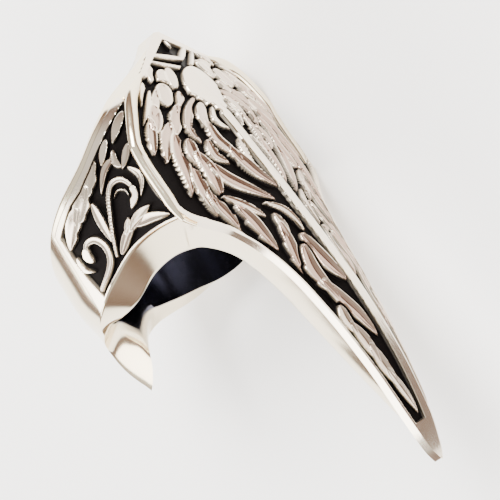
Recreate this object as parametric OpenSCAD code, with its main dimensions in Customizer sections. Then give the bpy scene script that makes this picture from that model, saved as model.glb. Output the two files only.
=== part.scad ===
// Archer's thumb ring: one cast piece of silver with a gabled top that runs
// out into a long pointed claw, a short spur opposite it, and raised leaf
// work on the roof and on the two side panels. It lies on its far side.

/* [Finger hole] */
// Radius of the finger hole
bore_r = 9.8; // [9:0.1:10.4]
// Thickness of the wall round the finger
wall = 2.6; // [2.2:0.1:3.2]

/* [Relief] */
// Depth of the ground below the polished faces
ground_depth = 0.45; // [0.2:0.05:0.6]
// Width of the plain border along the ridge, the edges and the rims
border = 0.7; // [0.5:0.1:1.2]
// Height of the bead along the roof's edge
bead_h = 0.35; // [0.1:0.05:0.5]
// Swelling of the spur's underside
spur_h = 1.0; // [0.4:0.1:1.4]
// Rounding-in of the band's front beside the spur
nose_depth = 1.1; // [0.4:0.1:1.4]

/* [Fineness] */
// Rows across the ring's back, between the rim and the claw
columns = 40; // [24:2:44]
// Angle between two rows round the band
row_step = 3.6; // [3:0.2:6]

/* [Hidden] */

outer_r = bore_r + wall;
bevel = 0.4;
// Turn of the hole's seam away from the rows of points
hole_turn = 37.3;

// The frame of the sections: x runs along the finger towards the claw's tip,
// z from the finger hole's axis up to the ridge, y to either side.
// Stations of the top. Columns: x, height of the ridge, half width of the
// roof, height of the roof's edge.
X = 0; RIDGE = 1; HALF = 2; EDGE = 3;
top_rows = [
    [-21.8, 12.95,  0.3, 12.9],
    [-18.3, 13.7,   5.2, 12.8],
    [-15.8, 14.3,   9.2, 12.5],
    [-12.6, 14.9,  11.4, 12.3],
    [ -9.6, 15.4,  12.4, 12.2],
    [ -5.2, 16.0,  12.5, 12.4],
    [ -1.6, 16.5,  12.0, 12.7],
    [  1.9, 16.9,   8.4, 14.1],
    [  6.3, 17.4,   6.1, 15.2],
    [ 12.0, 17.9,   4.7, 15.9],
    [ 20.0, 17.9,   3.2, 16.1],
    [ 27.0, 17.0,   2.0, 15.7],
    [ 30.5, 15.9,   1.0, 15.3],
    [ 32.1, 15.1,   0.0, 15.1]];

// Edges round the band. Columns: angle from the ridge, x of the back edge,
// x of the rim's outer edge, x of the rim's inner edge.
BACK = 1; OUTER = 2; INNER = 3;
rim_rows = [
    [  0, -21.8, 32.1, 8.0],
    [ 10, -20.4, 20.0, 6.2],
    [ 22, -19.1,  6.0, 3.0],
    [ 36, -17.9, -0.4, 0.8],
    [ 43, -17.2, -1.7, 0.3],
    [ 55, -15.4, -2.5, 0.0],
    [ 70, -13.2, -2.3, 0.4],
    [ 90, -11.3, -0.8, 1.7],
    [110,  -9.3,  1.0, 1.9],
    [130,  -7.0,  2.0, 1.4],
    [150,  -5.4,  2.2, 1.1],
    [157,  -5.1,  2.4, 1.0],
    [164,  -5.0,  3.2, 0.8],
    [171,  -5.0,  5.4, 0.7],
    [180,  -5.0,  8.7, 0.6]];

// A smooth curve through the rows of a table, read at x from one column
function span(x, t, i = 0) = i >= len(t) - 2 || x < t[i + 1][0] ? i : span(x, t, i + 1);
function lean(t, i, c) = let (a = max(i - 1, 0), b = min(i + 1, len(t) - 1))
    (t[b][c] - t[a][c]) / (t[b][0] - t[a][0]);
function read(x, t, c) = let (i = span(x, t), h = t[i + 1][0] - t[i][0],
        u = min(max((x - t[i][0]) / h, 0), 1))
    t[i][c] * (1 + 2 * u) * (1 - u) * (1 - u) + t[i + 1][c] * u * u * (3 - 2 * u)
    + h * (lean(t, i, c) * u * (1 - u) * (1 - u) - lean(t, i + 1, c) * u * u * (1 - u));

// Angle from the ridge to the roof's edge at x
function edge_angle(x) = atan2(read(x, top_rows, HALF), read(x, top_rows, EDGE));
tip_x = top_rows[len(top_rows) - 1][X];
claw_root_x = -1.6;
claw_root_angle = edge_angle(claw_root_x);
claw_xs = [for (k = [0:19]) tip_x - (tip_x - claw_root_x) * pow(k / 19, 1.15)];
band_angles = [for (a = [claw_root_angle + row_step : row_step : 154]) a];
spur_angles = [156, 158.5, 161, 163.5, 166, 168.5, 171, 174, 177];

// One side's rows as [angle, x of the rim's outer edge]
side_rows = concat(
    [for (x = claw_xs) [edge_angle(x), x]],
    [for (a = concat(band_angles, spur_angles)) [a, read(a, rim_rows, OUTER)]]);
bottom_row = [180, read(180, rim_rows, OUTER)];
n_side = len(side_rows);
rows = concat(side_rows, [bottom_row],
    [for (k = [n_side - 1 : -1 : 1]) [360 - side_rows[k][0], side_rows[k][1]]]);

// Distance from the axis to the outer face, at an angle a from the ridge
function folded(a) = a > 180 ? 360 - a : a;
function roof_r(a, x) = let (top = read(x, top_rows, RIDGE), half = max(read(x, top_rows, HALF), 0.2))
    top / (cos(a) + sin(a) * (top - read(x, top_rows, EDGE)) / half);
function side_r(a, x) = let (half = min(read(x, top_rows, HALF), outer_r))
    1 / (sin(a) / outer_r + cos(a) * (1 - half / outer_r) / read(x, top_rows, EDGE));
function plain_r(a, x) = a >= 90 ? outer_r + spur_swell(a, x) - nose(a, x)
    : a < claw_root_angle && x > claw_root_x ? roof_r(a, x) : min(roof_r(a, x), side_r(a, x));
function nose(a, x) = a < 98 || a > 172 ? 0
    : nose_depth * pow(sin((a - 98) / 74 * 180), 2) * pow(min(max((x + 2.5) / 4.6, 0), 1), 2);
function spur_swell(a, x) = x < 0 ? 0 : spur_h * max(0, 1 - abs(a - 180) / 30) * sin(min(x, 8) / 8 * 150);

// Raised leaves. Columns: x and y of the root, x and y of the tip, width.
// On the roof y is measured from the ridge, on a side panel from the axis up.
roof_leaves = [
    [-16.6, 2.2, -11.6, 1.2, 3.0], [-15.0, 6.0, -10.2, 4.8, 3.0], [-12.6, 8.8, -7.0, 8.6, 3.0],
    [-11.6, 2.6, -4.0, 2.0, 2.8], [-10.2, 5.4, -2.6, 4.4, 2.8], [-6.8, 8.0, 0.4, 6.4, 2.8],
    [-4.0, 2.2, 4.6, 1.6, 2.4], [-2.4, 4.6, 6.0, 3.2, 2.4], [4.6, 2.0, 13.0, 1.5, 2.4],
    [6.4, 4.0, 13.4, 2.8, 1.8], [13.0, 1.8, 20.6, 1.3, 2.2], [20.4, 1.2, 27.0, 0.8, 1.5]];
panel_leaves = [
    [-13.6, 10.0, -12.2, 5.0, 3.0], [-8.6, 10.6, -10.0, 4.6, 3.2], [-4.6, 10.4, -6.4, 4.6, 3.2],
    [-10.6, 3.8, -8.0, -1.6, 3.0], [-6.4, 4.0, -4.0, -1.8, 3.2]];
// How far a point lies inside a leaf, from 0 at its outline to 1 on its spine
function in_leaf(p, l) = let (d = [l[2] - l[0], l[3] - l[1]], n = norm(d),
        u = ((p[0] - l[0]) * d[0] + (p[1] - l[1]) * d[1]) / n / n,
        v = abs((p[0] - l[0]) * d[1] - (p[1] - l[1]) * d[0]) / n,
        w = u <= 0 || u >= 1 ? 0 : l[4] / 2 * pow(sin(180 * pow(u, 0.8)), 0.6))
    w <= 0 ? 0 : max(0, 1 - v / w);
function leaf_h(p, leaves) = min(1, 1.2 * max([for (l = leaves) in_leaf(p, l)]));
function step(v, w) = min(max(v / w, 0), 1);
// The ground is cut down inside the borders, and the leaves stand up in it
function roof_relief(a, x) = let (y = roof_r(a, x) * sin(a), half = read(x, top_rows, HALF),
        inside = step(min(half - y - border * 1.6, x - read(a, rim_rows, BACK) - 1.4, 27 - x), 0.5))
    inside * ground_depth * (leaf_h([x, y], roof_leaves) - 1)
    + bead_h * max(0, 1 - abs(half - y - 0.4) / 0.8) * step(-claw_root_x - x + 1, 2)
    * step(x - top_rows[0][X] - 3, 2);
function panel_relief(a, x) = let (z = side_r(a, x) * cos(a),
        inside = step(min(read(x, top_rows, EDGE) - z - border, z + 2.6,
            x - read(a, rim_rows, BACK) - 2.6, read(a, rim_rows, OUTER) - x - border), 0.5))
    inside * ground_depth * (leaf_h([x, z], panel_leaves) - 1);
function relief(a, x) = a < edge_angle(x) ? roof_relief(a, x) : a < 103 ? panel_relief(a, x) : 0;
function outer_face_r(a, x) = plain_r(a, x) + relief(a, x);

// A row's outline in its half plane, from the back of the hole over the
// outer face and down the rim's wide chamfer to the front of the hole
rim_steps = 5;
past_rim = 0.1;
// The inner ridge of the spur stays close to the hole's wall before it dips to the tip
function rim_bend(a) = a < 45 ? 1.3 : 1 + 2 * max(0, 1 - (180 - a) / 20);
function outline(a, x_outer) = let (xb = read(a, rim_rows, BACK), xi = read(a, rim_rows, INNER),
        x1 = xb + bevel, r_end = plain_r(a, x_outer))
    concat([[xb + bevel, bore_r - bevel], [xb, bore_r + bevel], [xb, outer_face_r(a, xb) - bevel]],
        [for (j = [0:columns]) let (x = x1 + (x_outer - x1) * j / columns) [x, outer_face_r(a, x)]],
        [for (j = [1:rim_steps - 1]) let (u = 1 - j / rim_steps)
            [xi + (x_outer - xi) * u, bore_r + (r_end - bore_r) * pow(u, rim_bend(a))]],
        [[xi - (x_outer - xi) * past_rim, bore_r - bevel]]);
function turned(p, a) = [p[0], p[1] * sin(a), p[1] * cos(a)];

skins = [for (row = rows) let (a = folded(row[0]), side = row[0] > 180 ? -1 : 1)
    [for (p = outline(a, row[1])) turned(p, side * a)]];
n_rows = len(skins);
n_cols = len(skins[0]);
back_pole = [-12, 0, 0];
front_pole = [3, 0, 0];
skin_points = concat([for (s = skins) each s], [back_pole, front_pole]);
function at(i, j) = (i % n_rows) * n_cols + j;
skin_faces = concat(
    [for (i = [0:n_rows - 1], j = [0:n_cols - 2]) each [
        [at(i, j), at(i + 1, j), at(i, j + 1)],
        [at(i + 1, j), at(i + 1, j + 1), at(i, j + 1)]]],
    [for (i = [0:n_rows - 1]) [at(i + 1, 0), at(i, 0), n_rows * n_cols]],
    [for (i = [0:n_rows - 1]) [at(i, n_cols - 1), at(i + 1, n_cols - 1), n_rows * n_cols + 1]]);

// Middle of the outline seen from above, and the lowest point, as it lies
low_x = min([for (p = skin_points) p[0]]);
high_x = max([for (p = skin_points) p[0]]);
low_z = min([for (p = skin_points) p[2]]);
high_z = max([for (p = skin_points) p[2]]);
high_y = max([for (p = skin_points) p[1]]);

module ring() {
    color("silver")
    translate([-(low_x + high_x) / 2, -(low_z + high_z) / 2, high_y])
    rotate([-90, 0, 0])
    difference() {
        polyhedron(points = skin_points, faces = skin_faces, convexity = 8);
        translate([low_x - 1, 0, 0]) rotate([0, 90, 0]) rotate([0, 0, hole_turn])
            cylinder(r = bore_r, h = high_x - low_x + 2, $fn = 96);
    }
}

ring();
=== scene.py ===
"""An archer's thumb ring in cast silver, lying on its side: a gabled roof of raised leaves that runs
out into a pointed claw, a kite-shaped scroll panel on each side, and a short spur opposite the claw.

Shapes are worked out in the ring's own millimetres: x along the finger towards the claw's tip,
z from the finger hole's axis up to the ridge, y to either side, with the photographed side at -y.
Angles round the band are in degrees from the ridge.
"""
import math

import bpy
import numpy as np
from mathutils import Matrix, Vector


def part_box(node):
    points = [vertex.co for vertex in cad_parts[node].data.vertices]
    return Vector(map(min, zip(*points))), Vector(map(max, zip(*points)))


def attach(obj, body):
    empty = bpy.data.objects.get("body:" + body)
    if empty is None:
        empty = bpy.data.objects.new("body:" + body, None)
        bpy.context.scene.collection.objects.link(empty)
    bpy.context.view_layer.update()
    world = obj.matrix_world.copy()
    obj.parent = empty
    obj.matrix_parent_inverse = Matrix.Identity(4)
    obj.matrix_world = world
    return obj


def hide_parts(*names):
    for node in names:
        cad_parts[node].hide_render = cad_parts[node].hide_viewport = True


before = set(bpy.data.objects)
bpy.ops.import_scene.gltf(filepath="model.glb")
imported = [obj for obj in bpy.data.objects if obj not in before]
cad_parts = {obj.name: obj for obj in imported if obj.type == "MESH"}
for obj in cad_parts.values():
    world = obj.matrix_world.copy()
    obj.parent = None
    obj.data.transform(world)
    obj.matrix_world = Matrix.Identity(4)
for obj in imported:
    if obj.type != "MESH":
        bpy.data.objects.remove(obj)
MM = 0.001


def write_size():
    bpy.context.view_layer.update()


write_size()

# Sizes of the band and the spur, mm and degrees
BORE_R = 9.8
WALL = 2.6
OUTER_R = BORE_R + WALL
BEVEL = 0.35                # radius of the back's two rounded edges
BEVEL_TURNS = [25.0, 65.0]  # where a rounded edge has its points, degrees
SPUR_H = 1.0                # swelling of the spur's underside
SPUR_SPREAD = 30            # half width of the swelling, degrees
SPUR_RUN = 8.0              # its length along the finger
SPUR_ARC = 150              # part of a sine wave that it follows, degrees
NOSE_DEPTH = 1.1            # rounding-in of the band's front beside the spur
NOSE_FROM, NOSE_TO = 98, 172
NOSE_START_X, NOSE_RUN = -2.5, 4.6
CLAW_ROOT_X = -1.6

# Depths and heights of the relief, mm
GROUND = 0.45               # depth of the blackened ground below the plain faces
LIFT = 0.02                 # the relief faces stand this far off the body's plain faces
SINK = 0.75                 # the body lies this far below the relief faces
SLAB = 0.9                  # thickness of a relief face
GROUND_WALL = 0.16          # width over which the ground's wall slopes
ROOF_PROUD = 0.14           # the roof's leaves over the plain faces
PANEL_PROUD = 0.1           # the panels' leaves over the plain faces

# The top's stations: x, height of the ridge, half width of the roof, height of the roof's edge
X, RIDGE, HALF, EDGE = 0, 1, 2, 3
TOP = np.array([
    [-21.8, 12.95, 0.3, 12.9], [-18.3, 13.7, 5.2, 12.8], [-15.8, 14.3, 9.2, 12.5],
    [-12.6, 14.9, 11.4, 12.3], [-9.6, 15.4, 12.4, 12.2], [-5.2, 16.0, 12.5, 12.4],
    [-1.6, 16.5, 12.0, 12.7], [1.9, 16.9, 8.4, 14.1], [6.3, 17.4, 6.1, 15.2],
    [12.0, 17.9, 4.7, 15.9], [20.0, 17.9, 3.2, 16.1], [27.0, 17.0, 2.0, 15.7],
    [30.5, 15.9, 1.0, 15.3], [32.1, 15.1, 0.0, 15.1]])
TIP_X = TOP[-1, X]
LEAST_HALF = 0.2            # the roof's slope is worked out on no less than this half width

# Edges round the band: angle from the ridge, x of the back edge, rim's outer edge, rim's inner edge
BACK, OUTER, INNER = 1, 2, 3
RIM = np.array([
    [0, -21.8, 32.1, 8.0], [10, -20.4, 20.0, 6.2], [22, -19.1, 6.0, 3.0], [36, -17.9, -0.4, 0.8],
    [43, -17.2, -1.7, 0.3], [55, -15.4, -2.5, 0.0], [70, -13.2, -2.3, 0.4], [90, -11.3, -0.8, 1.7],
    [110, -9.3, 1.0, 1.9], [130, -7.0, 2.0, 1.4], [150, -5.4, 2.2, 1.1], [157, -5.1, 2.4, 1.0],
    [164, -5.0, 3.2, 0.8], [171, -5.0, 5.4, 0.7], [180, -5.0, 8.7, 0.6]])
SIDE_END = 90               # the roof and side planes end here, and the round band begins
PLANE_LIMIT = 89            # a plane's radius is read no further round than this
PANEL_END = 108

low_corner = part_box("ring")[0]
SHIFT = np.array([low_corner[0] / MM - TOP[0, X], low_corner[1] / MM + OUTER_R + SPUR_H,
                  low_corner[2] / MM + OUTER_R])
FINENESS = 1.0
SIDES = ((-1, "near"), (1, "far"))


def to_frame(points):
    """Turns the ring's coordinates into the frame: (x, y, z) goes to (x, z, -y), moved by SHIFT."""
    points = np.asarray(points, float)
    turned = np.stack([points[..., 0], points[..., 2], -points[..., 1]], -1)
    return (turned + SHIFT) * MM


def read(x, table, column):
    """A smooth curve through a table's rows: cubic pieces whose slopes are those of the neighbours."""
    xs, ys = table[:, 0], table[:, column]
    n = len(xs)
    before = np.maximum(np.arange(n) - 1, 0)
    after = np.minimum(np.arange(n) + 1, n - 1)
    lean = (ys[after] - ys[before]) / (xs[after] - xs[before])
    i = np.clip(np.searchsorted(xs, x, "right") - 1, 0, n - 2)
    h = xs[i + 1] - xs[i]
    u = np.clip((x - xs[i]) / h, 0, 1)
    ends = ys[i] * (1 + 2 * u) * (1 - u) ** 2 + ys[i + 1] * u * u * (3 - 2 * u)
    return ends + h * (lean[i] * u * (1 - u) ** 2 - lean[i + 1] * u * u * (1 - u))


def between(x, table):
    """Straight lines through a table of two columns, read at x."""
    return np.interp(x, table[:, 0], table[:, 1])


def smooth(v, low, high):
    """0 below low, 1 above high, 3t^2 - 2t^3 between."""
    t = np.clip((v - low) / (high - low), 0, 1)
    return t * t * (3 - 2 * t)


def edge_angle(x):
    """Angle from the ridge, in degrees, of the roof's edge at x: atan(half width / edge height)."""
    return np.degrees(np.arctan2(read(x, TOP, HALF), read(x, TOP, EDGE)))


def roof_r(a, x):
    """Distance from the axis to the roof's plane: the line from (0, ridge) to (half, edge)."""
    top, half = read(x, TOP, RIDGE), np.maximum(read(x, TOP, HALF), LEAST_HALF)
    return top / (np.cos(a) + np.sin(a) * (top - read(x, TOP, EDGE)) / half)


def side_r(a, x):
    """Distance from the axis to the side's plane: the line from (half, edge) down to (outer_r, 0)."""
    half = np.minimum(read(x, TOP, HALF), OUTER_R)
    return 1 / (np.sin(a) / OUTER_R + np.cos(a) * (1 - half / OUTER_R) / read(x, TOP, EDGE))


def spur_swell(degrees, x):
    """The spur's underside: SPUR_H times a tent round the band, times a part of a sine along x."""
    across = np.maximum(0, 1 - np.abs(degrees - 180) / SPUR_SPREAD)
    along = np.sin(np.clip(x, 0, SPUR_RUN) / SPUR_RUN * math.radians(SPUR_ARC))
    return SPUR_H * across * along


def nose(degrees, x):
    """The band's front beside the spur rounds in by NOSE_DEPTH: sine squared round, square along."""
    turn = (np.clip(degrees, NOSE_FROM, NOSE_TO) - NOSE_FROM) / (NOSE_TO - NOSE_FROM) * 180
    across = np.sin(np.radians(turn)) ** 2
    return NOSE_DEPTH * across * np.clip((x - NOSE_START_X) / NOSE_RUN, 0, 1) ** 2


# Meshes
def add_mesh(name, points, faces, attributes, material, sharp_deg=50):
    """One closed mesh from points in the frame, with an attribute per vertex and one material.

    Its shading is smooth but for edges that turn by more than sharp_deg.
    """
    mesh = bpy.data.meshes.new(name)
    mesh.from_pydata(points.tolist(), [], faces)
    for key, values in attributes.items():
        layer = mesh.attributes.new(key, "FLOAT", "POINT")
        layer.data.foreach_set("value", np.asarray(values, np.float32).ravel())
    mesh.materials.append(material)
    mesh.shade_smooth()
    mesh.set_sharp_from_angle(angle=math.radians(sharp_deg))
    mesh.update()
    thing = bpy.data.objects.new(name, mesh)
    bpy.context.collection.objects.link(thing)
    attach(thing, "root")
    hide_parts("ring")


def outward(faces, flip):
    """The faces as they are, or each turned round, so that they point away from the piece."""
    return [face[::-1] for face in faces] if flip else faces


def grid_faces(n, m):
    """Quads of an n by m grid of points, listed row by row."""
    at = np.arange(n * m).reshape(n, m)
    return np.stack([at[:-1, :-1], at[1:, :-1], at[1:, 1:], at[:-1, 1:]], -1).reshape(-1, 4)


def ring_faces(n, m):
    """Quads of an n by m grid that closes on itself both ways."""
    at = np.arange(n * m).reshape(n, m)
    down, across = np.roll(at, -1, 0), np.roll(at, -1, 1)
    return np.stack([at, across, np.roll(down, -1, 1), down], -1).reshape(-1, 4)


def tube_faces(n, m):
    """Quads of n rings of m points, with a face across each end."""
    at = np.arange(n * m).reshape(n, m)
    across = np.roll(at, -1, 1)
    quads = np.stack([at[:-1], at[1:], across[1:], across[:-1]], -1).reshape(-1, 4)
    return quads.tolist() + [at[0].tolist(), at[-1][::-1].tolist()]


def slab(name, top, under, attributes, flip):
    """A closed slab of carved silver: a fine grid on top, one long quad per station beneath, and
    walls between.

    top is n by m points and under is n by 2, below the top's first and last column.
    """
    n, m = top.shape[:2]
    base = n * m
    a0, b0 = np.arange(n - 1) * m, base + np.arange(n - 1) * 2
    a1, b1 = a0 + m, b0 + 2
    inner = np.stack([a0, b0, b1, a1], -1)
    outer = np.stack([a0 + m - 1, a1 + m - 1, b1 + 1, b0 + 1], -1)
    below = np.stack([b0, b0 + 1, b1 + 1, b1], -1)
    walls = np.stack([inner, outer, below], 1).reshape(-1, 4)
    first = [base + 1, base] + list(range(m))
    last = [base + 2 * n - 2, base + 2 * n - 1] + list(range(n * m - 1, (n - 1) * m - 1, -1))
    faces = outward(grid_faces(n, m).tolist() + walls.tolist() + [first, last], flip)
    points = np.concatenate([top.reshape(-1, 3), under.reshape(-1, 3)])
    padded = {k: np.concatenate([v.ravel(), np.zeros(2 * n)]) for k, v in attributes.items()}
    add_mesh(name, to_frame(points), faces, padded, CARVED)


# Leaves of the roof: joins the one before it (1) or stands clear of it (0), width, side of its
# teeth (0 for none), hollow of its face, then its spine as x, y from root to tip; y runs from the
# ridge. A width below zero is a band of nearly even width.
# The hollow of a leaf's face also sets how much painted warm reflection it carries.
ROOF_LEAVES = [
    (0, -0.5, 0, 0.0, [(-20.3, 0.0), (-19.3, 0.0)]),
    (0, -1.0, 0, 0.0, [(-17.5, -0.3), (-18.3, 1.2), (-19.3, 3.0)]),
    (0, -0.8, 0, 0.0, [(-16.0, -0.3), (-17.3, 1.9), (-18.7, 3.9)]),
    (0, 1.2, 0, 0.2, [(-18.2, 4.9), (-17.0, 6.0)]),
    (1, 1.2, 0, 0.2, [(-18.2, 4.4), (-16.2, 5.7)]),
    (0, 1.8, 0, 0.2, [(-17.1, 3.5), (-15.3, 4.8)]),
    (1, 1.6, 0, 0.2, [(-17.1, 2.6), (-14.4, 3.7)]),
    (0, 4.6, 0, 0.0, [(-15.6, 0.1), (-14.0, 0.4), (-12.5, 0.3), (-10.9, 0.0)]),
    (0, 1.0, 0, 0.1, [(-16.6, 6.8), (-15.2, 7.9), (-14.0, 8.9)]),
    (0, 0.9, 0, 0.1, [(-15.5, 6.7), (-14.0, 8.1), (-12.1, 10.2)]),
    (0, 2.4, 0, 0.3, [(-15.4, 4.9), (-13.3, 6.0)]),
    (1, 1.3, 0, 0.3, [(-15.3, 5.9), (-13.6, 7.5), (-12.4, 8.6)]),
    (1, 2.1, 0, 0.5, [(-13.6, 7.6), (-12.2, 8.5), (-10.9, 9.4)]),
    (1, 1.6, 0, 0.5, [(-12.4, 9.0), (-10.7, 10.1), (-8.8, 11.1)]),
    (0, 1.3, 0, 0.3, [(-14.2, 3.6), (-13.0, 4.3), (-12.0, 5.6)]),
    (1, 2.1, 1, 0.5, [(-12.7, 5.0), (-11.4, 6.3), (-9.8, 7.6)]),
    (1, 2.0, 1, 0.5, [(-11.2, 7.4), (-9.8, 8.9), (-7.6, 10.3)]),
    (1, 2.2, -1, 0.6, [(-9.8, 7.6), (-7.8, 8.5), (-5.6, 9.1), (-3.2, 10.1)]),
    (1, 2.0, -1, 0.6, [(-6.2, 8.0), (-4.2, 8.5), (-2.0, 8.7), (-0.2, 8.9)]),
    (1, 1.7, -1, 0.6, [(-3.0, 8.3), (-1.2, 8.1), (0.4, 7.8), (2.2, 7.6)]),
    (0, 1.5, -1, 0.5, [(-12.9, 2.6), (-11.6, 4.3), (-9.8, 5.5), (-7.6, 5.0)]),
    (0, 1.6, 0, 0.3, [(-12.1, 2.2), (-10.8, 3.1), (-9.0, 3.6)]),
    (1, 1.8, 1, 0.5, [(-9.8, 3.1), (-7.9, 3.4), (-5.8, 2.8), (-4.2, 2.5)]),
    (0, 1.6, -1, 0.5, [(-8.0, 4.5), (-6.3, 4.8), (-4.8, 3.8)]),
    (0, 0.95, 0, 0.0, [(-11.3, 1.3), (-9.8, 2.0), (-8.0, 1.1)]),
    (0, 1.1, 0, 0.2, [(-6.9, 1.1), (-5.2, 1.5), (-3.2, 1.6)]),
    (1, 1.9, 0, 0.6, [(-6.2, 2.7), (-4.3, 2.3), (-2.6, 1.8), (-0.4, 0.8)]),
    (0, 1.9, 0, 0.6, [(-8.9, 6.5), (-7.4, 7.0), (-5.6, 7.3)]),
    (1, 2.2, 0, 0.6, [(-7.2, 6.6), (-5.2, 6.5), (-3.6, 6.8), (-1.9, 7.2)]),
    (1, 1.9, 0, 0.6, [(-5.6, 6.0), (-3.6, 5.3), (-1.6, 3.9), (0.8, 1.9)]),
    (0, 1.3, 0, 0.4, [(-1.9, 7.0), (-0.6, 5.9), (0.8, 4.9), (2.0, 4.2)]),
    (1, 1.9, 1, 0.6, [(-0.4, 6.3), (1.6, 5.9), (3.6, 5.7), (5.7, 5.4)]),
    (0, 1.1, 0, 0.3, [(0.5, 3.3), (1.8, 2.1), (3.4, 1.6), (5.4, 1.6)]),
    (0, 1.3, 0, 0.4, [(2.0, 3.3), (3.6, 3.3), (5.0, 3.5)]),
    (1, 1.7, 1, 0.6, [(3.2, 3.4), (5.4, 3.9), (7.2, 4.3), (9.0, 4.6)]),
    (0, 2.0, 0, 0.6, [(5.3, 2.1), (7.6, 1.9), (9.6, 1.5), (11.6, 0.9)]),
    (0, 2.0, 1, 0.6, [(6.4, 2.8), (8.6, 3.4), (10.6, 3.3), (13.0, 2.6)]),
    (1, 1.8, 0, 0.6, [(10.6, 3.2), (13.2, 2.5), (15.4, 1.8), (18.2, 1.2)]),
    (0, 1.4, 0, 0.3, [(13.6, 3.2), (15.2, 3.3), (17.2, 2.9)]),
    (1, 1.5, 0, 0.4, [(15.8, 3.0), (18.2, 2.6), (20.8, 2.3)]),
    (1, 1.4, 0, 0.4, [(18.6, 2.4), (21.2, 2.1), (24.0, 1.6)]),
    (1, 1.1, 0, 0.3, [(21.6, 2.0), (24.2, 1.5), (27.0, 1.0)])]

# Leaves of a side panel, in the same columns; z is measured up from the hole's axis.
PANEL_LEAVES = [
    (0, 1.7, 0, 0.0, [(-14.6, 11.3), (-13.7, 10.3), (-12.5, 9.2)]),
    (0, 1.4, 0, 0.0, [(-13.2, 8.5), (-12.3, 7.6), (-11.3, 6.8)]),
    (0, 1.4, 0, 0.2, [(-11.3, 11.0), (-10.5, 10.2), (-9.6, 9.1)]),
    (1, 1.3, 0, 0.2, [(-11.8, 8.9), (-10.8, 8.7), (-9.8, 9.2)]),
    (1, 1.2, 0, 0.3, [(-11.2, 8.5), (-10.7, 6.9), (-8.8, 4.9)]),
    (1, 1.1, 0, 0.3, [(-9.4, 9.9), (-8.2, 10.6), (-7.2, 10.3), (-6.1, 9.2)]),
    (0, -0.95, 0, 0.2, [(-3.0, 2.7), (-4.7, 3.5), (-6.6, 4.6), (-8.4, 5.8), (-9.2, 7.0),
                        (-8.9, 8.3), (-7.9, 8.9), (-7.0, 8.7)]),
    (1, 1.5, 0, 0.0, [(-7.6, 9.0), (-6.7, 8.6), (-5.8, 7.4)]),
    (0, -0.5, 0, 0.0, [(-7.9, 6.3), (-8.2, 7.2), (-7.8, 8.0), (-7.2, 8.1)]),
    (1, 1.5, 0, 0.2, [(-8.7, 3.4), (-6.6, 3.2), (-4.2, 3.1)]),
    (0, 1.5, 0, 0.3, [(-2.9, 3.5), (-4.0, 5.3), (-4.6, 7.2)]),
    (1, 1.5, 0, 0.2, [(-4.2, 6.0), (-4.8, 7.8), (-5.0, 9.9)]),
    (1, 1.5, 0, 0.3, [(-4.3, 6.8), (-3.9, 9.0), (-2.9, 11.5)]),
    (1, 1.0, 0, 0.1, [(-4.2, 5.2), (-4.9, 6.0), (-5.4, 6.7)]),
    (0, 2.2, 1, 0.2, [(-12.1, 6.0), (-10.7, 4.4), (-9.6, 2.7)]),
    (1, 2.6, 1, 0.2, [(-10.5, 3.6), (-9.2, 1.8), (-8.1, 0.2)]),
    (1, 2.4, 1, 0.2, [(-9.3, 1.3), (-8.1, -0.5), (-6.4, -2.4)]),
    (0, -1.15, 0, 0.2, [(-1.2, -1.3), (-2.1, 0.5), (-3.1, 1.7), (-4.5, 2.0), (-5.7, 1.3),
                        (-5.9, 0.1), (-5.1, -0.8)]),
    (1, 1.5, 0, 0.0, [(-5.5, -0.5), (-4.8, -0.7), (-3.9, -0.3)]),
    (0, 1.0, 0, 0.0, [(-5.4, -2.2), (-4.0, -2.1), (-3.0, -0.9)])]

# Shape of a leaf. Its half width along the spine, from u = 0 at the root to 1 at the tip, is
# sin(pi * (LEAF_ROOT + (1 - LEAF_ROOT) * u) ** LEAF_SKEW) ** LEAF_TAPER times half its width.
SPINE_POINTS = 44
LEAF_ROOT, LEAF_SKEW, LEAF_TAPER = 0.07, 0.85, 0.62
BAND_END, BAND_SWELL = 0.72, 0.28
SLIM = 0.92                 # share of its width that a leaf is drawn with
THIN = 0.05                 # a leaf is taken as no thinner than this, mm
TEETH = 3
TOOTH_DEPTH = 0.34          # share of the half width
MOAT = (0.06, 0.34)         # reach of the groove round a leaf that stands clear, mm
LEAF_REACH = 0.4            # a leaf touches nothing further out than this, mm
EDGE_RISE = 0.2             # width of a leaf's rounded edge, mm
# Strength of a leaf's dip and of its painted warm reflection, and the shares of the way in over which they
# grow
FACE_DIP, DIP_FROM, DIP_TO = 0.55, 0.25, 0.95
HOLLOW_REFLECTION, REFLECTION_FROM, REFLECTION_TO = 1.3, 0.1, 0.6


def spine(stops, n):
    """n points and their tangents on a smooth curve through the stops, evenly by stop number."""
    stops = np.array(stops, float)
    rows = np.column_stack([np.arange(len(stops)), stops])
    u = np.linspace(0, len(stops) - 1, n)
    path = np.column_stack([read(u, rows, 1), read(u, rows, 2)])
    tangent = np.gradient(path, axis=0)
    return path, tangent / np.linalg.norm(tangent, axis=1, keepdims=True)


def half_widths(width, u):
    """Half widths of a leaf, or of a band where width is below zero, along its spine."""
    half = abs(width) / 2
    if width < 0:
        return half * (BAND_END + BAND_SWELL * np.sin(np.pi * u)) * SLIM
    return half * np.sin(np.pi * (LEAF_ROOT + (1 - LEAF_ROOT) * u) ** LEAF_SKEW) ** LEAF_TAPER * SLIM


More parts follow.
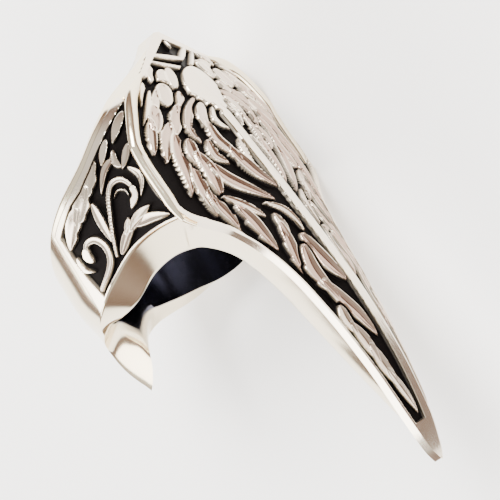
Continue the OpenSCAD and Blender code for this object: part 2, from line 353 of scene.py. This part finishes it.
def leaf_field(p, q, leaves):
    """Height, cover and painted reflection share of a set of leaves at the points (p, q), each from 0 to
    1.

    A leaf is the union of discs along its spine. gap = max(w - d) in mm over the discs, with w the
    disc's radius and d the distance to its centre. The edge rises as smooth(gap, 0, EDGE_RISE), and
    the face dips towards the spine by its hollow. On the side of its teeth w shrinks as a saw.
    The painted reflection is a warm brown share that grows towards the spine of a hollow leaf.
    """
    height, cover, hollow_reflection = np.zeros((3,) + p.shape)
    u = np.linspace(0, 1, SPINE_POINTS)
    for joins, width, tooth_side, dip, stops in leaves:
        path, tangent = spine(stops, SPINE_POINTS)
        w = half_widths(width, u)
        reach = abs(width) / 2 + LEAF_REACH
        lo, hi = path.min(0) - reach, path.max(0) + reach
        near = (p > lo[0]) & (p < hi[0]) & (q > lo[1]) & (q < hi[1])
        dp = p[near][:, None] - path[:, 0]
        dq = q[near][:, None] - path[:, 1]
        d = np.hypot(dp, dq)
        toothed = (tangent[:, 0] * dq - tangent[:, 1] * dp) * tooth_side > 0
        gap = (w * (1 - TOOTH_DEPTH * ((u * TEETH) % 1) * toothed) - d).max(1)
        depth_in = (1 - d / np.maximum(w, THIN)).max(1)
        rise = smooth(gap, 0, EDGE_RISE)
        face = rise * (1 - FACE_DIP * dip * smooth(depth_in, DIP_FROM, DIP_TO))
        moat = 1 if joins else smooth(-gap, *MOAT)
        # Painted reflection: a warm brown share towards the spine of a hollow leaf.
        tint = dip * HOLLOW_REFLECTION * smooth(depth_in, REFLECTION_FROM, REFLECTION_TO) * (gap > 0)
        height[near] = np.maximum(height[near] * moat, face)
        cover[near] = np.maximum(cover[near] * moat, rise)
        hollow_reflection[near] = np.maximum(hollow_reflection[near] * (gap < 0), tint)
    return height, cover, hollow_reflection


# Plain border between the roof's pattern and its edge: x, width
ROOF_BORDER = np.array([
    [-21.8, 2.2], [-17.0, 0.75], [-14.6, 0.9], [-12.0, 0.6], [-9.3, 0.15], [-5.0, 0.1],
    [-2.5, 0.5], [-0.8, 1.0], [1.0, 0.7], [2.7, 0.3], [6.0, 0.18], [32.1, 0.18]])
PATTERN_END_X = 27.6
BAR_START_X, BAR_RUN = -11.3, 1.2
BAR_HALF = 0.62             # half width of the plain bar along the ridge
NO_BAR = -9.0               # behind the bar the pattern runs up to the ridge
ROOF_BLACK = (0.45, 0.85)   # the black fades out between these shares of leaf cover


def roof_relief(x, y):
    """Height over the roof's plane, ground share and painted reflection share of the roof's pattern at (x,
    y).

    height = LIFT + field * (leaf * (GROUND + ROOF_PROUD) - GROUND), with field 1 inside the pattern.
    """
    bar = np.where(x > BAR_START_X, BAR_HALF * smooth(x, BAR_START_X, BAR_START_X + BAR_RUN), NO_BAR)
    to_edge = read(x, TOP, HALF) - y - between(x, ROOF_BORDER)
    margin = np.minimum(np.minimum(to_edge, PATTERN_END_X - x), y - bar)
    field = smooth(margin, 0, GROUND_WALL)
    leaf, cover, hollow_reflection = leaf_field(x, y, ROOF_LEAVES)
    height = LIFT + field * (-GROUND + (GROUND + ROOF_PROUD) * leaf)
    return height, field * (1 - smooth(cover, *ROOF_BLACK)), hollow_reflection * field


# Lower-left side of the panel's kite: z, x. Its lower side: x, z.
KITE_LEFT = np.array([
    [-2.9, -8.2], [0.8, -10.2], [2.9, -10.8], [5.3, -12.0], [7.9, -13.5], [11.5, -15.7]])
KITE_LOW = np.array([[-8.2, -2.9], [-5.2, -2.8], [-2.8, -2.4], [0.0, -1.6]])
# Depth of the panel's top side below the roof's edge: x, depth
KITE_TOP = np.array([[-16.0, 0.5], [-11.7, 0.6], [-8.0, 1.1], [-5.5, 1.15], [-4.0, 0.8], [-2.0, 0.35]])
KITE_LEAN = 0.85            # a distance along x to the kite's leaning side, made one across it
KITE_RIGHT = 0.3            # plain border between the kite and the rim
KITE_CLEAR = (0.1, 0.3)     # leaves fade out over this strip inside the kite's sides
PANEL_BLACK = (0.4, 0.8)    # the black fades out between these shares of leaf cover


def panel_relief(degrees, x, z):
    """Height over the side's plain face, ground share and painted reflection share of the panel's pattern.

    height = LIFT + field * (leaf * (GROUND + PANEL_PROUD) - GROUND), with field 1 inside the kite.
    """
    left = (x - between(z, KITE_LEFT)) * KITE_LEAN
    low = z - between(x, KITE_LOW)
    top = read(x, TOP, EDGE) - between(x, KITE_TOP) - z
    right = read(degrees, RIM, OUTER) - KITE_RIGHT - x
    margin = np.minimum(np.minimum(left, low), np.minimum(top, right))
    field = smooth(margin, 0, GROUND_WALL)
    leaf, cover, hollow_reflection = leaf_field(x, z, PANEL_LEAVES)
    clear = smooth(margin, *KITE_CLEAR)
    height = LIFT + field * (-GROUND + (GROUND + PANEL_PROUD) * leaf * clear)
    return height, field * (1 - smooth(cover * clear, *PANEL_BLACK)), hollow_reflection * field


# Finishes, with the painted reflection and shade
SCRATCH_SCALE = (900, 9000, 5000)       # noise cells a metre: the scratches run along the finger
SCRATCH_DETAIL = 2.0
UNEVEN_SCALE = 420.0
UNEVEN_DETAIL = 1.0
SCRATCH, UNEVENNESS = 0.2, 0.5          # share of each in the marks' height
MARK_HEIGHT = 0.00006                   # metres
BLACK = (0.006, 0.005, 0.005, 1)
BLACK_ROUGHNESS = 0.55
# Painted reflection: the warm brown that the leaves' hollows reflect, put into their colour.
HOLLOW_REFLECTION_BROWN = (0.27, 0.145, 0.105, 1)
# Painted shade: the dark that the finger hole's wall reflects, put into its colour.
HOLE_SHADE_GREY = (0.10, 0.10, 0.125, 1)


def socket(group, name, in_out, value=None):
    """Adds a named float input or output to a node group."""
    made = group.interface.new_socket(name=name, in_out=in_out, socket_type="NodeSocketFloat")
    if value is not None:
        made.default_value = value


def polish_marks():
    """Fine polishing scratches and soft casting unevenness as one height value."""
    group = bpy.data.node_groups.new("polish_marks", "ShaderNodeTree")
    socket(group, "Scratch", "INPUT", SCRATCH)
    socket(group, "Unevenness", "INPUT", UNEVENNESS)
    socket(group, "Height", "OUTPUT")
    nodes, links = group.nodes, group.links
    given = nodes.new("NodeGroupInput")
    result = nodes.new("NodeGroupOutput")
    where = nodes.new("ShaderNodeTexCoord")
    stretch = nodes.new("ShaderNodeMapping")
    stretch.inputs["Scale"].default_value = SCRATCH_SCALE
    fine = nodes.new("ShaderNodeTexNoise")
    fine.inputs["Scale"].default_value = 1.0
    fine.inputs["Detail"].default_value = SCRATCH_DETAIL
    broad = nodes.new("ShaderNodeTexNoise")
    broad.inputs["Scale"].default_value = UNEVEN_SCALE
    broad.inputs["Detail"].default_value = UNEVEN_DETAIL
    links.new(where.outputs["Object"], stretch.inputs["Vector"])
    links.new(stretch.outputs["Vector"], fine.inputs["Vector"])
    links.new(where.outputs["Object"], broad.inputs["Vector"])
    scratches = nodes.new("ShaderNodeMath")
    scratches.operation = "MULTIPLY"
    links.new(fine.outputs["Fac"], scratches.inputs[0])
    links.new(given.outputs["Scratch"], scratches.inputs[1])
    both = nodes.new("ShaderNodeMath")
    both.operation = "MULTIPLY_ADD"
    links.new(broad.outputs["Fac"], both.inputs[0])
    links.new(given.outputs["Unevenness"], both.inputs[1])
    links.new(scratches.outputs["Value"], both.inputs[2])
    links.new(both.outputs["Value"], result.inputs["Height"])
    return group


MARKS = polish_marks()


def share(nodes, name):
    """The mesh's attribute of that name, from 0 to 1."""
    attribute = nodes.new("ShaderNodeAttribute")
    attribute.attribute_name = name
    return attribute.outputs["Fac"]


def colour_mix(nodes, links, factor, end):
    """A mix from its input A to the colour end as the factor goes from 0 to 1."""
    mix = nodes.new("ShaderNodeMix")
    mix.data_type = "RGBA"
    mix.inputs["B"].default_value = end
    links.new(factor, mix.inputs["Factor"])
    return mix


def silver(name, roughness, tint, bump):
    """Polished silver: a painted warm reflection in the leaves' hollows, painted shade in the finger hole
    and blackened on the ground, each by one of the mesh's attributes."""
    made = bpy.data.materials.new(name)
    made.use_nodes = True
    nodes, links = made.node_tree.nodes, made.node_tree.links
    shader = nodes["Principled BSDF"]
    shader.inputs["Metallic"].default_value = 1.0
    ground = share(nodes, "ground")
    # Painted reflection in the leaves' hollows, mixed into the base colour.
    hollow_reflection_mix = colour_mix(nodes, links, share(nodes, "hollow_reflection"), HOLLOW_REFLECTION_BROWN)
    # Painted shade down the finger hole's wall, mixed into the base colour.
    hole_shade_mix = colour_mix(nodes, links, share(nodes, "hole"), HOLE_SHADE_GREY)
    black = colour_mix(nodes, links, ground, BLACK)
    hollow_reflection_mix.inputs["A"].default_value = tint
    links.new(hollow_reflection_mix.outputs["Result"], hole_shade_mix.inputs["A"])
    links.new(hole_shade_mix.outputs["Result"], black.inputs["A"])
    links.new(black.outputs["Result"], shader.inputs["Base Color"])
    rough = nodes.new("ShaderNodeMapRange")
    rough.inputs["To Min"].default_value = roughness
    rough.inputs["To Max"].default_value = BLACK_ROUGHNESS
    links.new(ground, rough.inputs["Value"])
    links.new(rough.outputs["Result"], shader.inputs["Roughness"])
    marks = nodes.new("ShaderNodeGroup")
    marks.node_tree = MARKS
    marks.inputs["Scratch"].default_value = SCRATCH
    marks.inputs["Unevenness"].default_value = UNEVENNESS
    lump = nodes.new("ShaderNodeBump")
    lump.inputs["Strength"].default_value = bump
    lump.inputs["Distance"].default_value = MARK_HEIGHT
    links.new(marks.outputs["Height"], lump.inputs["Height"])
    links.new(lump.outputs["Normal"], shader.inputs["Normal"])
    return made


POLISHED = silver("polished_silver", roughness=0.14, tint=(0.88, 0.77, 0.57, 1), bump=0.25)
CARVED = silver("carved_silver", roughness=0.17, tint=(0.84, 0.74, 0.60, 1), bump=0.35)

# The body's rows and the points of a row
CLAW_ROWS, BAND_ROWS = 90, 140
CLAW_CROWDING = 1.15        # the claw's rows lie closer together towards its tip
BORE_POINTS, FACE_POINTS, RIM_POINTS = 12, 130, 24
BORE_SETBACK = 0.05         # the bore starts this far behind the rim's inner edge
FACE_SETBACK = 0.06         # the outer face ends this far behind the rim's outer edge
RIM_START = 0.02            # share of the rim's chamfer at its first point
RIM_BEND_TOP, RIM_TOP_END = 1.3, 45     # the chamfer is a little hollow up to this angle
RIM_BEND_SPUR, SPUR_HALF_DEG = 2.0, 20  # and more hollow this near to the spur's middle
SUNK_EDGE = 0.35            # width over which the body sinks under the roof
SUNK_MARGIN = 0.6           # it is sunk this far outside the kite too
SUNK_STEP = (0.05, 0.4)     # and sinks over this strip there
TIP_KEPT, TIP_STEP = 0.8, 1.0   # the claw's last stretch isn't sunk, and how softly that ends
HOLE_SHADE, HOLE_FADE = 0.12, 0.1   # the finger hole's painted shade ends this far from its wall


def row_list():
    """The body's rows on one side as angles from the ridge and x of the rim's outer edge."""
    k = np.linspace(0, 1, int(CLAW_ROWS * FINENESS))
    claw_x = TIP_X - (TIP_X - CLAW_ROOT_X) * k ** CLAW_CROWDING
    claw_a = edge_angle(claw_x)
    band_a = np.linspace(claw_a[-1] + 1, 180, int(BAND_ROWS * FINENESS))
    angles = np.concatenate([claw_a, band_a])
    return angles, np.concatenate([claw_x, read(band_a, RIM, OUTER)])


def plain_r(deg, x):
    """The body's outer radius: roof or side, whichever is nearer, and the band with its spur."""
    root = edge_angle(np.array(CLAW_ROOT_X))
    on_claw = (deg < root) & (x > CLAW_ROOT_X)
    safe = np.minimum(np.radians(deg), math.radians(PLANE_LIMIT))
    roof = roof_r(safe, x)
    upper = np.where(on_claw, roof, np.minimum(roof, side_r(safe, x)))
    return np.where(deg >= SIDE_END, OUTER_R + spur_swell(deg, x) - nose(deg, x), upper)


def back_lips(back_x, back_r):
    """The flat back between its two rounded edges, each a quarter circle of radius BEVEL."""
    lip = np.radians(np.array(BEVEL_TURNS))
    last = lip[::-1]
    along = np.concatenate([back_x + BEVEL * (1 - np.sin(lip)), back_x, back_x,
                            back_x + BEVEL * (1 - np.sin(last))], 1)
    away = np.concatenate([BORE_R + BEVEL * (1 - np.cos(lip)) + 0 * back_x,
                           BORE_R + BEVEL + 0 * back_x, back_r - BEVEL,
                           back_r - BEVEL * (1 - np.cos(last))], 1)
    return along, away


def sunk_share(deg, x, r, back_x):
    """1 where a relief face covers the body, 0 on the plain faces."""
    y = r * np.sin(np.radians(np.minimum(deg, PLANE_LIMIT)))
    z = r * np.cos(np.radians(deg))
    roof = smooth(np.minimum(read(x, TOP, HALF) - y, x - back_x), 0.0, SUNK_EDGE)
    roof = roof * (deg < edge_angle(x)) * smooth(TIP_X - TIP_KEPT - x, 0, TIP_STEP)
    low = z - between(x, KITE_LOW) + SUNK_MARGIN
    left = x - between(z, KITE_LEFT) + SUNK_MARGIN
    right = read(deg, RIM, OUTER) - x
    panel = smooth(np.minimum(np.minimum(low, left), right), *SUNK_STEP)
    return np.maximum(roof, panel * (deg >= edge_angle(x)) * (deg < PANEL_END))


def body_points(angles, outer_x):
    """x and radius of all rows, as an n by m grid: bore, back, outer face, rim chamfer.

    The chamfer runs from the rim's outer edge to its inner one as BORE_R + rise * w ** bend.
    """
    deg, xo = angles[:, None], outer_x[:, None]
    xb, xi = read(deg, RIM, BACK), read(deg, RIM, INNER)
    u = np.linspace(0, 1, BORE_POINTS)
    bore_x = xi - BORE_SETBACK + (xb + BEVEL - xi + BORE_SETBACK) * u
    lips_x, lips_r = back_lips(xb, plain_r(deg, xb))
    start = xb + BEVEL
    face_x = start + (xo - FACE_SETBACK - start) * np.linspace(0, 1, int(FACE_POINTS * FINENESS))
    face_r = plain_r(deg, face_x)
    face_r = face_r - SINK * sunk_share(deg, face_x, face_r, xb)
    w = 1 - np.linspace(RIM_START, 1, RIM_POINTS)
    near_spur = np.maximum(0, 1 - (180 - deg) / SPUR_HALF_DEG)
    bend = np.where(deg < RIM_TOP_END, RIM_BEND_TOP, 1 + RIM_BEND_SPUR * near_spur)
    rim_x = xi + (xo - xi) * w
    rim_r = BORE_R + (plain_r(deg, xo) - BORE_R) * w ** bend
    along = np.concatenate([bore_x, lips_x, face_x, rim_x[:, :-1]], 1)
    away = np.concatenate([np.full(bore_x.shape, BORE_R), lips_r, face_r, rim_r[:, :-1]], 1)
    return along, away


def ring_body():
    """The band, claw and spur: the rows of one side, then those of the other, closed to a ring."""
    angles, outer_x = row_list()
    along, away = body_points(angles, outer_x)
    turn = np.radians(np.concatenate([angles, 360 - angles[-2:0:-1]]))[:, None]
    along = np.concatenate([along, along[-2:0:-1]])
    away = np.concatenate([away, away[-2:0:-1]])
    skin = np.stack([along, away * np.sin(turn), away * np.cos(turn)], -1)
    n_rows, n_points = skin.shape[:2]
    # Painted shade: the bore's wall gets a dark colour share for the dark it reflects.
    hole_shade_share = smooth(BORE_R + HOLE_SHADE - away, 0, HOLE_FADE)
    shares = {"ground": 0 * hole_shade_share, "hollow_reflection": 0 * hole_shade_share, "hole": hole_shade_share}
    faces = ring_faces(n_rows, n_points).tolist()
    add_mesh("ring_body", to_frame(skin).reshape(-1, 3), faces, shares, POLISHED, sharp_deg=35)


ring_body()

# The roof's two relief faces
ROOF_STATIONS, ROOF_COLUMNS = 680, 136
ROOF_START, ROOF_END = 0.15, 0.25   # they begin and end this far inside the roof's points
TIP_FADE, TIP_FADE_FROM, TIP_FADE_TO = 0.3, -0.1, 0.5   # their relief fades out at the claw's tip
UNDER_EDGE = 0.97           # the underside's outer edge, as a share of the half width


def roof_faces():
    """Points on the line from ridge to edge, pushed square to it by the relief's height."""
    n_x, n_v = int(ROOF_STATIONS * FINENESS), int(ROOF_COLUMNS * FINENESS)
    x = np.linspace(TOP[0, X] + ROOF_START, TIP_X - ROOF_END, n_x)[:, None]
    half, ridge = read(x, TOP, HALF), read(x, TOP, RIDGE)
    y = half * np.linspace(0, 1, n_v)[None, :]
    fall = (ridge - read(x, TOP, EDGE)) / np.maximum(half, LEAST_HALF)
    z = ridge - fall * y
    slant = np.sqrt(1 + fall ** 2)
    grid_x = x + 0 * y
    relief, ground, hollow_reflection = roof_relief(grid_x, y)
    relief = relief * smooth(TIP_X - TIP_FADE - grid_x, TIP_FADE_FROM, TIP_FADE_TO)
    push_y = np.where(np.arange(n_v) == 0, 0, relief * fall / slant)
    for side, tag in SIDES:
        top = np.stack([grid_x, side * (y + push_y), z + relief / slant], -1)
        under_y = np.concatenate([0 * x, half * UNDER_EDGE], 1) * side
        under_z = np.concatenate([z[:, :1], z[:, -1:]], 1) - SLAB
        under = np.stack([np.repeat(x, 2, 1), under_y, under_z], -1)
        slab("roof_" + tag, top, under, {"ground": ground, "hollow_reflection": hollow_reflection}, side < 0)


roof_faces()

# The two side panels' relief faces
PANEL_ROWS, PANEL_COLUMNS = 300, 290
PANEL_START = 39            # the first row's angle; its front part lies under the roof
PANEL_BACK, PANEL_FRONT = 0.6, 0.12     # they stay this far inside the back edge and the rim
TUCK, TUCK_WIDTH = 0.12, 0.4            # their edges dip into the body by this much
TUCK_DEG, TUCK_PER_DEG = 9, 0.2         # at their lower end a degree counts as 0.2 mm
UNDER_ROOF = 0.7            # they stay this far below the roof's plane
NO_ROOF = 99                # and on the band there is no roof over them
SIDE_LIMIT = 89.99          # the side's plane is read no further round than this


def panel_faces():
    """Points on the side's plane and the band below it, moved out by the relief's height."""
    n_a, n_u = int(PANEL_ROWS * FINENESS), int(PANEL_COLUMNS * FINENESS)
    deg = np.linspace(PANEL_START, PANEL_END, n_a)[:, None]
    back = read(deg, RIM, BACK) + PANEL_BACK
    x = back + (read(deg, RIM, OUTER) - PANEL_FRONT - back) * np.linspace(0, 1, n_u)[None, :]
    a = np.radians(np.minimum(deg, SIDE_LIMIT))
    r = np.where(deg >= SIDE_END, OUTER_R, side_r(a, x))
    turn = np.radians(deg)
    relief, ground, hollow_reflection = panel_relief(deg + 0 * x, x, r * np.cos(turn))
    to_edge = np.minimum(x - back, np.minimum(PANEL_END - deg, TUCK_DEG) * TUCK_PER_DEG)
    relief = relief - TUCK * (1 - smooth(to_edge, 0, TUCK_WIDTH))
    under_roof = np.where(deg < SIDE_END, roof_r(a, x), NO_ROOF) - UNDER_ROOF
    r = np.minimum(r + relief, under_roof)
    under_r = r[:, [0, -1]] - SLAB
    for side, tag in SIDES:
        top = np.stack([x, side * r * np.sin(turn), r * np.cos(turn)], -1)
        under = np.stack([x[:, [0, -1]], side * under_r * np.sin(turn), under_r * np.cos(turn)], -1)
        slab("panel_" + tag, top, under, {"ground": ground, "hollow_reflection": hollow_reflection}, side > 0)


panel_faces()

# The rounded mouldings between roof and panels
BEAD_STATIONS, BEAD_POINTS = 420, 24
BEAD_R = 0.62
BEAD_CORE = 0.05            # radius that is left at a moulding's ends
BEAD_PROUD = {"near": 0.3, "far": 0.0}  # the near one stands proud, and the far one lies flat
BEAD_START_X, BEAD_END_X = -18.2, -0.6
BEAD_SWELL = (-18.3, -16.2)             # x over which it thickens, and then thins by BEAD_THIN
BEAD_FADE, BEAD_THIN = (-4.2, -0.8), 0.8
BEAD_SLIDE = (-15.0, -8.0)              # x over which it moves from the edge's top to its side
BEAD_INSET, BEAD_INSET_END = 0.42, 0.02     # its middle lies this far inside the edge, behind and in front
BEAD_DROP, BEAD_DROP_MORE = 0.1, 0.48   # and this far below it, and then this much more
BEAD_SIDE_GAP = 0.35                    # its middle keeps this far inside the band's side


def mouldings():
    """A circle of changing radius carried along the roof's edge, cut off flat at the side."""
    x = np.linspace(BEAD_START_X, BEAD_END_X, int(BEAD_STATIONS * FINENESS))
    slide = smooth(x, *BEAD_SLIDE)
    y = read(x, TOP, HALF) - BEAD_INSET * (1 - slide) - BEAD_INSET_END * slide
    y = np.minimum(y, OUTER_R - BEAD_SIDE_GAP)
    z = read(x, TOP, EDGE) - BEAD_DROP - BEAD_DROP_MORE * slide
    radius = BEAD_R * smooth(x, *BEAD_SWELL) * (1 - BEAD_THIN * smooth(x, *BEAD_FADE)) + BEAD_CORE
    path = np.column_stack([x, y, z])
    run = np.gradient(path, axis=0)
    run /= np.linalg.norm(run, axis=1, keepdims=True)
    out = np.cross(run, np.array([0.0, 0.0, 1.0]))
    out /= np.linalg.norm(out, axis=1, keepdims=True)
    up = np.cross(out, run)
    spin = np.linspace(0, 2 * math.pi, BEAD_POINTS, endpoint=False)
    circle = (np.cos(spin)[None, :, None] * out[:, None, :]
              + np.sin(spin)[None, :, None] * up[:, None, :])
    none = np.zeros(len(x) * BEAD_POINTS)
    for side, tag in SIDES:
        tube = path[:, None, :] + radius[:, None, None] * circle
        tube[..., 1] = np.clip(tube[..., 1], 0, OUTER_R + BEAD_PROUD[tag]) * side
        faces = outward(tube_faces(len(x), BEAD_POINTS), side < 0)
        add_mesh("bead_" + tag, to_frame(tube).reshape(-1, 3), faces, {"ground": none, "hollow_reflection": none},
                 POLISHED)


mouldings()

# Floor, world and lights, in metres
FLOOR_REACH = 1.5
PAPER = (0.99, 0.99, 0.99, 1)
PAPER_ROUGHNESS = 0.9
WORLD_STRENGTH = 1.15
# The world's colour by the upward part of the direction, 0 at the horizon and below: part, colour
SKY = [(0.0, (0.22, 0.14, 0.11, 1)), (0.3, (0.46, 0.34, 0.29, 1)),
       (0.6, (1.0, 0.96, 0.9, 1)), (1.0, (1.0, 0.97, 0.92, 1))]
# Soft lights: name, place, size, watts, colour
LIGHTS = [
    ("key", (-0.30, 0.10, 0.40), 0.30, 8.0, (1.0, 0.98, 0.95)),
    ("fill", (0.35, 0.25, 0.30), 0.35, 3.0, (1.0, 0.96, 0.92)),
    ("rear", (0.05, -0.40, 0.30), 0.35, 3.8, (1.0, 0.99, 0.97))]
LIGHT_AIM = (0, 0, 0.01)


def pale_floor():
    """A square sheet of matt white paper under the ring."""
    r = FLOOR_REACH
    mesh = bpy.data.meshes.new("floor")
    mesh.from_pydata([(-r, -r, 0), (r, -r, 0), (r, r, 0), (-r, r, 0)], [], [(0, 1, 2, 3)])
    floor = bpy.data.objects.new("floor", mesh)
    bpy.context.collection.objects.link(floor)
    paper = bpy.data.materials.new("pale_paper")
    paper.use_nodes = True
    shader = paper.node_tree.nodes["Principled BSDF"]
    shader.inputs["Base Color"].default_value = PAPER
    shader.inputs["Roughness"].default_value = PAPER_ROUGHNESS
    mesh.materials.append(paper)


def studio_world():
    """Light from all round, pale above and brown below, so that the silver has something dark in it."""
    world = bpy.data.worlds.new("studio")
    bpy.context.scene.world = world
    world.use_nodes = True
    nodes, links = world.node_tree.nodes, world.node_tree.links
    where = nodes.new("ShaderNodeTexCoord")
    split = nodes.new("ShaderNodeSeparateXYZ")
    ramp = nodes.new("ShaderNodeValToRGB")
    links.new(where.outputs["Generated"], split.inputs["Vector"])
    links.new(split.outputs["Z"], ramp.inputs["Fac"])
    links.new(ramp.outputs["Color"], nodes["Background"].inputs["Color"])
    nodes["Background"].inputs["Strength"].default_value = WORLD_STRENGTH
    stops = ramp.color_ramp.elements
    stops[0].color = SKY[0][1]
    stops[1].color = SKY[-1][1]
    for place, color in SKY[1:-1]:
        stops.new(place).color = color


def soft_light(name, place, size, watts, color):
    """A square area light that faces LIGHT_AIM."""
    lamp = bpy.data.lights.new(name, "AREA")
    lamp.size = size
    lamp.energy = watts
    lamp.color = color
    thing = bpy.data.objects.new(name, lamp)
    place = np.array(place, float)
    back = place - np.array(LIGHT_AIM, float)
    back /= np.linalg.norm(back)
    right = np.cross((0.0, 0.0, 1.0), back)
    right /= np.linalg.norm(right)
    turn = np.column_stack([right, np.cross(back, right), back])
    thing.matrix_world = Matrix.Translation(place) @ Matrix(turn.tolist()).to_4x4()
    bpy.context.collection.objects.link(thing)


pale_floor()
studio_world()
for light in LIGHTS:
    soft_light(*light)

# The camera: the photograph's right and up in the ring's coordinates, and the picture's scale
PHOTO_RIGHT = np.array([0.523, 0.554, 0.648])
PHOTO_UP = np.array([-0.841, 0.216, 0.495])
VIEW_DISTANCE = 260.0       # mm from where x is 0 on the hole's axis
PX_PER_MM = 9.35
CENTRE_RIGHT, CENTRE_UP = 6.95, 1.76    # mm from that point to the picture's middle
SENSOR = 36.0
PHOTO_PX = 500.0
CLIP_START = 0.01


def photo_camera():
    """A camera at the photograph's angle, square to its right and up directions."""
    right = PHOTO_RIGHT / np.linalg.norm(PHOTO_RIGHT)
    up = PHOTO_UP - (PHOTO_UP @ right) * right
    up /= np.linalg.norm(up)
    toward = np.cross(right, up)
    eye = to_frame(CENTRE_RIGHT * right + CENTRE_UP * up + VIEW_DISTANCE * toward)
    axes = np.column_stack([(v[0], v[2], -v[1]) for v in (right, up, toward)])
    lens = bpy.data.cameras.new("photo_view")
    lens.sensor_width = SENSOR
    lens.lens = PX_PER_MM * VIEW_DISTANCE / PHOTO_PX * SENSOR
    lens.clip_start = CLIP_START
    camera = bpy.data.objects.new("photo_view", lens)
    camera.matrix_world = Matrix.Translation(eye) @ Matrix(axes.tolist()).to_4x4()
    bpy.context.collection.objects.link(camera)
    bpy.context.scene.camera = camera


photo_camera()

write_size()
